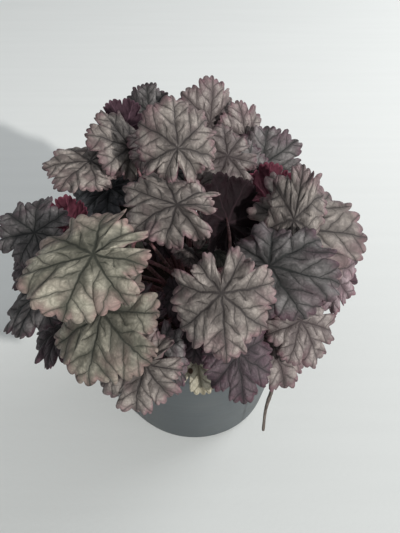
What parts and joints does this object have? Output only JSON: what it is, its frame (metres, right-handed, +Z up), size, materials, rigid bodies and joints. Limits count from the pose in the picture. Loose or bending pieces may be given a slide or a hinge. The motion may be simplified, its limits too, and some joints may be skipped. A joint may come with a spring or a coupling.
{
  "type": "heuchera plant",
  "caption": "Potted heuchera: a dense dome of lobed, scallop-edged silver-pink leaves with dark veins and maroon undersides, on long petioles over a tapered round pot.",
  "frame": {"origin": "centre of the pot's underside, on the surface it stands on", "axes": "+Z up through the pot's axis; -Y towards the side of the plant that leans to the light; +X to the right of a viewer there"},
  "size_m": [0.2631, 0.2666, 0.2811],
  "materials": {
    "pot": "matte slate-grey moulded plastic",
    "soil": "crumbly moist potting mix",
    "crown": "rough woody root crown",
    "stalk": "dry, thin and brown",
    "leaf": "silver-pink leaf tissue between dark veins, satin, with maroon underside and pink-red petiole"
  },
  "bodies": {
    "root": {"pot": "pot", "soil": "soil", "crown": "crown", "dry_stalk": "stalk", "leaf_back_low_1": "leaf", "leaf_back_low_2": "leaf", "leaf_back_low_3": "leaf", "leaf_back_low_4": "leaf", "leaf_back_low_5": "leaf", "leaf_back_mid_1": "leaf", "leaf_back_mid_2": "leaf", "leaf_back_mid_3": "leaf", "leaf_back_mid_4": "leaf", "leaf_side_low_right": "leaf", "leaf_inner_left": "leaf", "leaf_inner_front": "leaf", "leaf_back_high_1": "leaf", "leaf_back_high_2": "leaf", "leaf_inner_top": "leaf", "leaf_inner_left_back": "leaf", "leaf_inner_right": "leaf", "leaf_inner_low": "leaf", "leaf_young_1": "leaf", "leaf_young_2": "leaf", "leaf_young_3": "leaf", "leaf_low_left_back": "leaf", "leaf_low_left": "leaf", "leaf_old_front": "leaf", "leaf_low_right": "leaf", "leaf_right_hanging": "leaf", "leaf_right_skirt": "leaf", "leaf_under_front": "leaf", "leaf_low_centre": "leaf", "leaf_low_front_right": "leaf", "leaf_low_front_left": "leaf", "leaf_left_edge": "leaf", "leaf_roof_left_back": "leaf", "leaf_roof_left_edge": "leaf", "leaf_roof_back": "leaf", "leaf_roof_back_right": "leaf", "leaf_roof_right": "leaf", "leaf_left_back": "leaf", "leaf_left_outer": "leaf", "leaf_left_curl": "leaf", "leaf_left_far": "leaf", "leaf_right_veined": "leaf", "leaf_right_standing": "leaf", "leaf_right_maroon": "leaf", "leaf_top_left": "leaf", "leaf_top_pink": "leaf", "leaf_centre_pink": "leaf", "leaf_centre_maroon": "leaf", "leaf_right_outer": "leaf", "leaf_right_upper": "leaf", "leaf_right_big": "leaf", "leaf_front_left_low": "leaf", "leaf_front_right": "leaf", "leaf_centre_left": "leaf", "leaf_top_centre": "leaf", "leaf_front_left_big": "leaf"}
  },
  "joints": []
}
